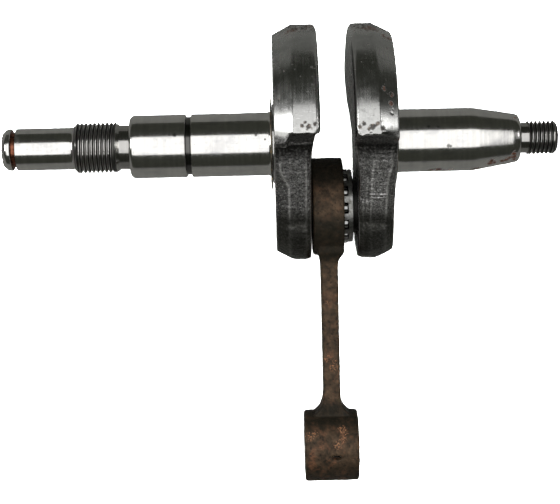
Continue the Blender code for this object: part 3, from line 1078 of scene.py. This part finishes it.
def rod_surface(ob):
    me = ob.data
    p = points(me)
    n = normals(me)
    a, b, x = p[:, 0], p[:, 1], p[:, 2]
    r1 = np.hypot(a, b)
    r2 = np.hypot(a - ROD_LEN, b)
    bores = sm(r1, 9.25, 9.6) * sm(r2, 6.75, 7.1)
    fine = cloud(p, 2.6, 4, 90, 0.6)
    mid = cloud(p, 0.75, 3, 95)
    pit = sm(cloud(p, 1.7, 3, 99), 0.25, 0.5)
    dsp = -0.075 - 0.05 * fine - 0.05 * mid - 0.09 * pit
    dsp = np.minimum(dsp, 0.0) * bores
    set_points(me, p + n * dsp[:, None])
    rust = sm(cloud(p, 0.42, 4, 120, 0.6), 0.08, 0.42)
    rust = np.maximum(rust, sm(cloud(p, 1.3, 3, 130), 0.28, 0.55) * 0.8)
    rust *= 0.35 + 0.65 * sm(a, 14.0, 44.0)
    attribute(me, "rust", np.clip(rust, 0, 1))
    attribute(me, "pits", pit * bores)
    attribute(me, "bores", 1 - bores)
    # darker zones: painted shade at the big end and at the shank's foot; the shank's
    # edges and the small end are darkened too
    dark = (1 - sm(a, -7.5, -3.8)) * 0.96
    dark = np.maximum(dark, sm(a, 0.0, 4.0) * (1 - sm(a, 11.5, 15.0)) * 0.95)
    dark = np.maximum(dark, sm(a, 45.5, 49.0) * (1 - sm(a, 52.0, 55.0)) * 0.9)
    dark = np.maximum(dark, 0.5 * sm(np.abs(x - 0.33), 1.5, 2.1)
                      * sm(a, 14.0, 16.0) * (1 - sm(a, 44.0, 47.0)))
    dark = np.maximum(dark, sm(a, 60.0, 65.5) * 0.75)
    dark *= 0.85 + 0.3 * cloud(p, 0.9, 3, 140)
    dark = np.clip(dark, 0, 1)
    attribute(me, "dark", np.clip(dark * 1.15, 0, 1))


rod_surface(rod)

# ===================================================================== cage
ch = 0.10
cage_prof = [(6.93, -4.60 + ch), (6.93 + ch, -4.60), (8.78 - ch, -4.60),
             (8.78, -4.60 + ch), (8.78, 4.60 - ch), (8.78 - ch, 4.60),
             (6.93 + ch, 4.60), (6.93, 4.60 - ch)]
CN = 260
cv, cf = [], []
for rr, x in cage_prof:
    for k in range(CN):
        a = 2 * math.pi * (k + 0.37) / CN
        cv.append((rr * math.cos(a), rr * math.sin(a), x))
for i in range(len(cage_prof)):
    a0, b0 = i * CN, ((i + 1) % len(cage_prof)) * CN
    for k in range(CN):
        j = (k + 1) % CN
        cf.append((a0 + k, a0 + j, b0 + j, b0 + k))
cm = bpy.data.meshes.new("cage_piece")
cm.from_pydata(cv, [], cf)
bm = bmesh.new()
bm.from_mesh(cm)
bmesh.ops.recalc_face_normals(bm, faces=bm.faces)
bm.to_mesh(cm)
bm.free()
cage = temp("cage_piece", cm)


def roller_angle(i):
    return math.radians(90.0 - 23.0 + 5.4 + 360.0 * i / 13)


bm = bmesh.new()
for i in range(13):
    rings_ = []
    w, h, c = 1.36, 3.58, 0.35
    lp_ = []
    for cx_, cy_, a0 in ((w - c, h - c, 0), (-w + c, h - c, 90),
                         (-w + c, -h + c, 180), (w - c, -h + c, 270)):
        for t in np.linspace(a0, a0 + 90, 5):
            lp_.append((cx_ + c * math.cos(math.radians(t)),
                        cy_ + c * math.sin(math.radians(t))))
    M = Matrix.Rotation(roller_angle(i), 4, "Z")
    for rad in (4.8, 10.8):
        rings_.append([bm.verts.new(M @ Vector((rad, y, z))) for y, z in lp_])
    k_ = len(lp_)
    for k in range(k_):
        bm.faces.new((rings_[0][k], rings_[0][(k + 1) % k_],
                      rings_[1][(k + 1) % k_], rings_[1][k]))
    bm.faces.new(rings_[0][::-1])
    bm.faces.new(rings_[1])
bmesh.ops.recalc_face_normals(bm, faces=bm.faces)
wm_ = bpy.data.meshes.new("windows")
bm.to_mesh(wm_)
bm.free()
boolean(cage, temp("windows", wm_), "DIFFERENCE")

rollers = []
for i in range(13):
    ro = lathe("roller_piece_%02d" % (i + 1), [
        (0.0, -3.45), (0.95, -3.45), (1.12, -3.40), (1.20, -3.30),
        (1.23, -3.12), (1.23, -1.5), (1.23, 1.5), (1.23, 3.12), (1.20, 3.30),
        (1.12, 3.40), (0.95, 3.45), (0.0, 3.45)], 56)
    a = roller_angle(i)
    ro.data.transform(Matrix.Translation((7.75 * math.cos(a),
                                          7.75 * math.sin(a), 0.0)))
    rollers.append(ro)

# ================================================================ placement
for ob in (drive, fly, left, right, wash_l, wash_r):
    place(ob, CRANK)
for ob in (pin, cage, *rollers):
    place(ob, PINM)
place(rod, ROD)

# ================================================================= materials
def axial(g):
    """x, distance from the crank's axis and angle round it (metres, rad)."""
    c = g.coord("Object")
    s = g.sep(c)
    r = g.math("SQRT", g.math("ADD", g.math("MULTIPLY", s[1], s[1]),
                              g.math("MULTIPLY", s[2], s[2])))
    ang = g.math("ARCTAN2", s[2], s[1])
    return c, s, r, ang


def shaft_mat(name, tone, rust_list, lo_x, hi_x, oil=(0.30, 0.22, 0.10)):
    g = G(name)
    c, s, r, ang = axial(g)
    # turning and grinding marks run round the shaft, so they vary along x
    along = g.combine(g.math("MULTIPLY", s[0], 1.0),
                      g.math("MULTIPLY", s[1], 0.02),
                      g.math("MULTIPLY", s[2], 0.02))
    lines = g.noise(along, 5200.0, 3.0, 0.6)
    lines2 = g.noise(along, 900.0, 3.0, 0.55)
    arcs = g.noise(g.combine(s[0], g.math("MULTIPLY", s[1], 0.16),
                             g.math("MULTIPLY", s[2], 0.16)), 2600.0, 4.0, 0.6)
    film = g.noise(c, 210.0, 5.0, 0.6)
    specks = g.noise(c, 1500.0, 3.0, 0.6)
    base = g.mix(g.step(lines2, 0.3, 0.7), [t * 0.93 for t in tone],
                 [min(t * 1.06, 1) for t in tone])
    base = g.mix(g.step(film, 0.48, 0.70, 0.0, 0.45), base,
                 [tone[0] * 0.66, tone[1] * 0.66, tone[2] * 0.70])
    wisps = g.noise(g.combine(g.math("MULTIPLY", s[0], 0.30), s[1], s[2]),
                    620.0, 4.0, 0.6)
    base = g.mix(g.step(wisps, 0.50, 0.66, 0.0, 0.40), base,
                 [tone[0] * 0.70, tone[1] * 0.71, tone[2] * 0.76])
    base = g.mix(g.step(specks, 0.68, 0.76, 0.0, 0.55), base,
                 (0.10, 0.085, 0.07))
    base = g.mix(g.step(arcs, 0.64, 0.74, 0.0, 0.45), base,
                 (0.17, 0.165, 0.16))
    # rusty retaining-ring groove by its radius; the other groove and the necks darker by
    # their radius; painted shade in the thread roots and the run-out, with a lighter
    # painted highlight line along the deepest root
    if lo_x < 0:
        groove = g.math("MULTIPLY", g.step(s[0], -0.07625, -0.07610),
                        g.step(s[0], -0.07510, -0.07490, 1.0, 0.0))
        deep = g.step(r, 0.00462, 0.00492, 1.0, 0.0)
        wide = g.math("MULTIPLY", groove, deep)
        stain = g.math("MULTIPLY", g.step(s[0], -0.0790, -0.0772),
                       g.step(s[0], -0.0745, -0.0725, 1.0, 0.0))
        g2 = g.math("MULTIPLY", g.step(s[0], -0.03475, -0.03462),
                    g.step(s[0], -0.03340, -0.03325, 1.0, 0.0))
        dk = g.math("MULTIPLY", g2, g.step(r, 0.0071, 0.0074, 1.0, 0.0))
        neck = g.math("MULTIPLY", g.step(s[0], -0.0515, -0.0512, 1.0, 0.0),
                      g.step(s[0], -0.0614, -0.0611))
        nk2 = g.math("MULTIPLY", g.step(s[0], -0.0515, -0.0510),
                     g.math("MULTIPLY", g.step(s[0], -0.0480, -0.0478, 1.0, 0.0),
                            g.step(r, 0.0054, 0.0060, 1.0, 0.0)))
        # painted shade: the thread roots and the thread's run-out are darkened
        root = g.math("MULTIPLY", neck, g.step(r, 0.00586, 0.00600, 1.0, 0.0))
        root = g.math("MAXIMUM", root, g.math(
            "MULTIPLY", g.step(s[0], -0.0523, -0.0519),
            g.step(s[0], -0.0513, -0.0510, 1.0, 0.0)))
    else:
        wide = stain = None
        dk = g.math("MULTIPLY", g.step(r, 0.0037, 0.0043, 1.0, 0.0),
                    g.step(s[0], 0.0439, 0.0441))
        # painted shade in the flywheel thread's roots
        th = g.step(s[0], 0.0464, 0.0467)
        root = g.math("MULTIPLY", th, g.step(r, 0.00384, 0.00399, 1.0, 0.0))
        nk2 = None
    # painted highlight: a lighter line along the deepest thread root
    thin = g.math("MULTIPLY", root, g.step(
        r, 0.00546 if lo_x < 0 else 0.00345,
        0.00552 if lo_x < 0 else 0.00351, 1.0, 0.0))
    base = g.mix(g.math("MULTIPLY", g.math(
        "SUBTRACT", root, g.math("MULTIPLY", thin, 0.55)), 0.90), base,
        (0.035, 0.034, 0.03))
    base = g.mix(g.math("MULTIPLY", dk, 0.93 if lo_x < 0 else 0.45), base,
                 (0.05, 0.048, 0.045))
    metal = 1.0
    rough = g.step(g.math("ADD", g.math("MULTIPLY", lines, 0.6),
                          g.math("MULTIPLY", film, 0.5)), 0.3, 0.9, 0.11, 0.23)
    rough = g.math("ADD", rough, g.math("MULTIPLY", root, 0.25))
    if nk2 is not None:
        base = g.mix(g.math("MULTIPLY", nk2, 0.45), base, (0.07, 0.065, 0.06))
    nick = g.spots(c, [(26.9, -2.0, 7.2, 0.42), (27.4, -2.1, 7.2, 0.3),
                       (-18.0, 1.6, 7.3, 0.35), (-15.9, 0.5, 7.5, 0.25),
                       (22.4, 2.6, 7.0, 0.3), (24.6, 2.5, 7.1, 0.25),
                       (-37.0, 2.0, 7.2, 0.4), (-38.2, 2.2, 7.2, 0.25)], 0.4)
    base = g.mix(g.math("MULTIPLY", nick, 0.8), base, (0.06, 0.06, 0.055))
    # rust spots
    rusty = None
    if rust_list:
        warp = g.n.new("ShaderNodeVectorMath")
        warp.operation = "SCALE"
        nz = g.noise(c, 1300.0, 4.0, 0.6, out="Color")
        g.l.new(nz, warp.inputs[0])
        warp.inputs["Scale"].default_value = 0.0022
        sub = g.n.new("ShaderNodeVectorMath")
        sub.operation = "ADD"
        g.l.new(c, sub.inputs[0])
        g.l.new(warp.outputs[0], sub.inputs[1])
        off = g.n.new("ShaderNodeVectorMath")
        off.operation = "SUBTRACT"
        g.l.new(sub.outputs[0], off.inputs[0])
        off.inputs[1].default_value = (0.0011, 0.0011, 0.0011)
        rusty = g.spots(off.outputs[0], rust_list, 0.45)
    if wide is not None:
        w2 = g.math("MULTIPLY", stain, g.step(film, 0.50, 0.66, 0.0, 0.10))
        rusty = g.math("MAXIMUM", wide, w2) if rusty is None else \
            g.math("MAXIMUM", g.math("MAXIMUM", rusty, wide), w2)
    rcol = g.ramp(g.noise(c, 2600.0, 4.0, 0.65),
                  [(0.34, (0.020, 0.009, 0.005)), (0.52, (0.105, 0.036, 0.016)),
                   (0.72, (0.24, 0.095, 0.048))])
    normal = g.bump(lines, 0.0000030, 0.55)
    normal = g.bump(arcs, 0.0000035, 0.5, normal)
    if rusty is not None:
        base = g.mix(rusty, base, rcol)
        matt = rusty
        if wide is not None:
            # the groove's rust is a thin film that still shines
            matt = g.math("SUBTRACT", rusty, g.math("MULTIPLY", wide, 0.92),
                          clamp=True)
            base = g.mix(wide, base, g.mix(g.step(specks, 0.45, 0.6),
                                           (0.22, 0.082, 0.047),
                                           (0.07, 0.026, 0.014)))
        metal = g.math("SUBTRACT", 1.0, g.math("MULTIPLY", matt, 0.85))
        rough = g.math("ADD", rough, g.math("MULTIPLY", matt, 0.32))
        if wide is not None:
            rough = g.math("ADD", rough, g.math("MULTIPLY", wide, 0.16))
    return g.bsdf(base, metal, rough, normal)


def web_mat(name, tone, tint, rust_list):
    g = G(name)
    c, s, r, ang = axial(g)
    forged, wear = g.attr("forged"), g.attr("wear")
    lobe, pits = g.attr("lobe"), g.attr("pits")
    hollow, shade, tip = g.attr("hollow"), g.attr("shade"), g.attr("tip")
    around = g.combine(s[0], g.math("MULTIPLY", s[1], 0.05),
                       g.math("MULTIPLY", s[2], 0.05))
    lines = g.noise(around, 2400.0, 3.0, 0.6)
    rings = g.noise(g.combine(r, g.math("MULTIPLY", ang, 0.0004),
                              g.math("MULTIPLY", s[0], 0.3)), 1700.0, 4.0, 0.62)
    face = g.step(g.math("ABSOLUTE", g.sep(g.geo("Normal"))[0]), 0.9, 0.97)
    film = g.noise(c, 170.0, 5.0, 0.6)
    blot = g.noise(c, 520.0, 5.0, 0.62)
    fine = g.noise(c, 3600.0, 4.0, 0.65)
    scr = g.noise(g.combine(g.math("MULTIPLY", s[0], 0.12), s[1], s[2]),
                  2300.0, 3.0, 0.6)
    # turned rim and faces
    steel = g.mix(g.step(film, 0.38, 0.66), [t * 0.80 for t in tone], tone)
    steel = g.mix(g.step(blot, 0.55, 0.72, 0.0, 0.55), steel,
                  [t * 0.45 for t in tone])
    steel = g.mix(g.step(scr, 0.60, 0.68, 0.0, 0.35), steel,
                  [min(1.0, t * 1.5) for t in tone])
    steel = g.mix(g.math("MULTIPLY", face, g.step(rings, 0.42, 0.60, 0.0, 0.55)),
                  steel, [t * 0.42 for t in tone])
    # forged scale
    scale_c = g.ramp(g.noise(c, 900.0, 5.0, 0.62),
                     [(0.32, tuple(t * 0.30 for t in tint)), (0.55, tint),
                      (0.74, tuple(min(1.0, t * 2.1) for t in tint))])
    scale_c = g.mix(g.step(fine, 0.60, 0.74, 0.0, 0.7), scale_c,
                    tuple(min(1.0, t * 3.2) for t in tint))
    grain = g.noise(c, 2600.0, 2.0, 0.75)
    scale_c = g.mix(g.step(grain, 0.40, 0.60, 0.0, 1.0),
                    g.mix(0.72, scale_c, (0.018, 0.018, 0.017)),
                    g.mix(0.25, scale_c, (0.8, 0.79, 0.79)))
    # painted shade on the chamfers
    scale_c = g.mix(g.math("MULTIPLY", g.attr("cham"), 0.55), scale_c,
                    (0.035, 0.034, 0.032))
    scale_c = g.mix(g.math("MULTIPLY", lobe, 0.90), scale_c,
                    (0.048, 0.048, 0.040))
    scale_c = g.mix(g.math("MULTIPLY", g.math("MULTIPLY", g.attr("cham"),
                                              g.step(grain, 0.60, 0.66)),
                           g.math("SUBTRACT", 0.8, g.math("MULTIPLY", lobe, 0.8))),
                    scale_c, (0.9, 0.9, 0.88))
    # bright ridge lines, with painted highlights along the rim's inner edge and in two
    # streaks
    scale_c = g.mix(g.math("MULTIPLY", g.attr("line"), 0.85), scale_c,
                    (0.92, 0.91, 0.90))
    base = g.mix(forged, steel, scale_c)
    # painted shade beneath the counterweight's lip and on its facet
    base = g.mix(g.math("MULTIPLY", shade, 0.72), base, (0.030, 0.030, 0.026))
    base = g.mix(g.math("MULTIPLY", g.attr("beneath_lip_shade"), 0.85), base,
                 (0.012, 0.012, 0.010))
    base = g.mix(g.math("MULTIPLY", hollow, 0.6), base, (0.03, 0.026, 0.024))
    base = g.mix(g.math("MULTIPLY", wear, 0.55), base, (0.50, 0.49, 0.48))
    # corrosion
    pit_col = g.ramp(g.noise(c, 1500.0, 4.0, 0.65),
                     [(0.40, (0.008, 0.007, 0.006)),
                      (0.54, (0.060, 0.040, 0.028)),
                      (0.70, (0.34, 0.26, 0.20))])
    base = g.mix(pits, base, pit_col)
    sp = g.spots(c, rust_list, 0.4) if rust_list else None
    nonm = g.math("MULTIPLY", pits, 0.8)
    if sp is not None:
        sp = g.math("MULTIPLY", sp, g.step(g.noise(c, 1800.0, 4.0, 0.6),
                                           0.42, 0.54))
        base = g.mix(sp, base, g.ramp(g.noise(c, 3000.0, 3.0, 0.6), [
            (0.35, (0.03, 0.012, 0.008)), (0.65, (0.15, 0.062, 0.034))]))
        nonm = g.math("MAXIMUM", nonm, g.math("MULTIPLY", sp, 0.85))
    metal = g.math("SUBTRACT", 1.0, nonm, clamp=True)
    rough_t = g.step(g.math("ADD", g.math("MULTIPLY", lines, 0.5),
                            g.math("MULTIPLY", film, 0.6)), 0.35, 0.85,
                     0.19, 0.33)
    rough_f = g.step(fine, 0.3, 0.75, 0.46, 0.30)
    rough = g.mixf(forged, rough_t, rough_f)
    rough = g.math("ADD", rough, g.math("MULTIPLY", nonm, 0.3))
    n1 = g.bump(lines, 0.000004, 0.5)
    n2 = g.bump(scr, 0.000006, 0.35, n1)
    grit = g.noise(c, 2100.0, 3.0, 0.7)
    coarse = g.math("MULTIPLY", forged, g.math("SUBTRACT", 1.0, g.math(
        "MULTIPLY", lobe, 0.75)))
    n2 = g.bump(rings, 0.00002, g.math("MULTIPLY", face, 0.5), n2)
    n3 = g.bump(fine, 0.00010, g.math("MULTIPLY", coarse, 0.8), n2)
    n4 = g.bump(grit, 0.00034, g.math("MULTIPLY", coarse, 0.9), n3)
    return g.bsdf(base, metal, rough, n4)


def rod_mat():
    g = G("rod_rusty_forging")
    c = g.coord("Object")
    rust, pits, dark, bores = (g.attr("rust"), g.attr("pits"),
                               g.attr("dark"), g.attr("bores"))
    fine = g.noise(c, 3200.0, 5.0, 0.65)
    blot = g.noise(c, 620.0, 5.0, 0.6)
    base = g.ramp(blot, [(0.30, (0.022, 0.016, 0.010)),
                         (0.52, (0.068, 0.044, 0.026)),
                         (0.72, (0.125, 0.078, 0.046))])
    orange = g.ramp(fine, [(0.32, (0.070, 0.030, 0.014)),
                           (0.55, (0.185, 0.082, 0.040)),
                           (0.75, (0.36, 0.17, 0.086))])
    base = g.mix(g.math("MULTIPLY", rust, 0.6), base, orange)
    base = g.mix(g.math("MULTIPLY", pits, 0.7), base, (0.010, 0.007, 0.006))
    # painted shade at the big end and the shank's foot; the shank's edges and the small
    # end are darker too
    base = g.mix(dark, base, g.mix(0.9, base, (0.012, 0.011, 0.007)))
    # painted highlight: small bright orange spots on the rod
    painted_highlight = g.spots(c, [(-0.9, -54.1, -4.6, 1.0), (-2.3, -51.9, -4.2, 1.0),
                      (-0.6, -52.6, -4.4, 0.7), (-1.9, -38.4, -2.6, 0.7),
                      (1.0, -69.0, -3.3, 1.1), (-7.1, -70.4, -2.6, 1.1),
                      (-0.4, -72.6, -2.1, 1.0), (0.9, -71.2, -2.4, 0.9),
                      (-5.6, -69.8, -2.9, 0.7), (1.6, -70.2, -2.7, 0.7)], 0.5)
    painted_highlight = g.math("MULTIPLY", painted_highlight, g.step(g.noise(c, 2900.0, 3.0, 0.7),
                                         0.52, 0.62))
    base = g.mix(g.math("MULTIPLY", painted_highlight, 0.9), base, (0.52, 0.25, 0.13))
    base = g.mix(bores, base, (0.34, 0.33, 0.31))
    metal = g.math("MULTIPLY", g.math("SUBTRACT", 1.0, rust, clamp=True), 0.30)
    metal = g.mixf(bores, metal, 1.0)
    rough = g.step(fine, 0.3, 0.7, 0.50, 0.72)
    rough = g.mixf(bores, rough, 0.22)
    n1 = g.bump(fine, 0.00004, g.math("SUBTRACT", 0.6, g.math("MULTIPLY", bores, 0.55)))
    n2 = g.bump(blot, 0.00008, 0.3, n1)
    return g.bsdf(base, metal, rough, n2, Specular_IOR_Level=0.22)


def simple_steel(name, tone, dark, rough0, rough1, scale, stains=0.0,
                 stain_col=(0.20, 0.10, 0.04), gap_shade=None):
    g = G(name)
    c = g.coord("Object")
    film = g.noise(c, scale, 5.0, 0.6)
    fine = g.noise(c, scale * 9.0, 4.0, 0.6)
    streak = g.noise(g.mapping(c, scale=(1.0, 0.15, 0.15)), scale * 14.0, 3.0)
    base = g.mix(g.step(film, 0.36, 0.66), dark, tone)
    base = g.mix(g.step(fine, 0.62, 0.74, 0.0, 0.5), base, dark)
    metal = 1.0
    rough = g.step(fine, 0.3, 0.75, rough0, rough1)
    if stains:
        st = g.step(g.noise(c, scale * 2.6, 4.0, 0.6), 0.50, 0.66, 0.0, stains)
        base = g.mix(st, base, stain_col)
        metal = g.math("SUBTRACT", 1.0, g.math("MULTIPLY", st, 0.7))
        rough = g.math("ADD", rough, g.math("MULTIPLY", st, 0.25))
    if gap_shade:
        # painted shade in the narrow gaps beside the bearing: the pin is darkened there
        ax = g.math("ABSOLUTE", g.sep(c)[0])
        gr = g.math("MULTIPLY", g.step(ax, gap_shade[0], gap_shade[1]),
                    g.step(ax, gap_shade[2], gap_shade[2] + 0.0006, 1.0, 0.0))
        base = g.mix(g.math("MULTIPLY", gr, 0.93), base, (0.010, 0.010, 0.008))
        rough = g.math("ADD", rough, g.math("MULTIPLY", gr, 0.35))
    nrm = g.bump(streak, 0.000004, 0.6)
    nrm = g.bump(fine, 0.000006, 0.4, nrm)
    return g.bsdf(base, metal, rough, nrm)


def on_top(x, y, r):
    """A point of radius r's upper side at x, y (mm)."""
    return (x, y, math.sqrt(max(r * r - y * y, 0.0)))


LEFT_RUST = []
RIGHT_RUST = [(*on_top(23.6, -7.25, 7.5), 0.6), (*on_top(25.1, -7.15, 7.5), 0.8),
              (*on_top(24.4, -7.35, 7.5), 0.6), (*on_top(28.0, -7.2, 7.5), 0.4),
              (*on_top(34.2, -7.1, 7.35), 0.7), (*on_top(33.2, -7.25, 7.5), 0.5),
              (*on_top(37.4, -5.5, 6.8), 0.7), (*on_top(37.2, -6.1, 6.82), 0.7),
              (*on_top(38.2, -5.9, 6.7), 0.5), (*on_top(39.9, -5.6, 6.4), 0.6),
              (*on_top(40.9, -5.3, 6.2), 0.6), (*on_top(41.7, -5.0, 6.1), 0.6),
              (*on_top(42.6, -4.0, 5.95), 0.6), (*on_top(42.8, -4.7, 5.9), 0.8),
              (*on_top(42.9, -5.3, 5.9), 0.5), (*on_top(43.3, 4.5, 5.85), 0.35)]
m_drive = shaft_mat("ground_steel_drive", (0.57, 0.56, 0.54), LEFT_RUST,
                    -0.08, 0.0)
m_fly = shaft_mat("ground_steel_flywheel", (0.56, 0.55, 0.53), RIGHT_RUST,
                  0.0, 0.06)
WEB_RUST = [(10.7, 9.6, 25.5, 0.6), (12.4, 8.3, 25.2, 0.6),
            (12.2, 6.3, 25.9, 0.6), (11.0, -26.4, -5.0, 1.8), (8.0, -26.8, -6.0, 1.5),
            (13.2, -25.0, -4.0, 1.3), (9.0, 24.6, 12.0, 1.9),
            (12.5, 22.6, 13.5, 1.5), (13.7, -1.5, 24.5, 0.8)]
m_lweb = web_mat("left_web_steel", (0.41, 0.41, 0.40), (0.38, 0.372, 0.372),
                 [(-9.0, 24.0, 12.0, 1.8), (-5.0, 25.0, 9.0, 1.6)])
m_rweb = web_mat("right_web_steel", (0.41, 0.41, 0.40), (0.56, 0.55, 0.545),
                 WEB_RUST)
# the pin is darkened as painted shade in the gaps beside the bearing
m_pin = simple_steel("crankpin_steel", (0.50, 0.49, 0.48), (0.32, 0.31, 0.30),
                     0.14, 0.26, 300.0, gap_shade=(0.0042, 0.0046, 0.0080))
m_wl = simple_steel("washer_left_steel", (0.22, 0.20, 0.17), (0.08, 0.07, 0.05),
                    0.25, 0.40, 260.0, 0.7, (0.26, 0.17, 0.05))
m_wr = simple_steel("washer_right_steel", (0.20, 0.19, 0.175),
                    (0.07, 0.065, 0.055), 0.25, 0.40, 260.0, 0.4)
m_cage = simple_steel("cage_steel", (0.30, 0.30, 0.295), (0.13, 0.13, 0.12),
                      0.26, 0.40, 520.0, 0.35, (0.05, 0.035, 0.022))
m_roll = simple_steel("roller_steel", (0.27, 0.27, 0.27), (0.16, 0.16, 0.15),
                      0.09, 0.18, 700.0)
m_rod = rod_mat()

finish_piece(left, "crank", ["left_half_crank"], m_lweb)
finish_piece(drive, "crank", ["left_half_crank"], m_drive, 28)
finish_piece(right, "crank", ["right_half_crank"], m_rweb)
finish_piece(fly, "crank", ["right_half_crank"], m_fly, 28)
finish_piece(pin, "crank", ["crankpin"], m_pin, 30)
finish_piece(wash_l, "crank", ["shim_washer_left"], m_wl, 30)
finish_piece(wash_r, "crank", ["shim_washer_right"], m_wr,
             30)
finish_piece(rod, "rod", ["conrod"], m_rod)
finish_piece(cage, "cage", ["needle_cage"], m_cage, 30)
for i, ro in enumerate(rollers):
    nm = "needle_roller_%02d" % (i + 1)
    finish_piece(ro, "roller_%02d" % (i + 1), [nm], m_roll, 30)

bpy.context.view_layer.update()
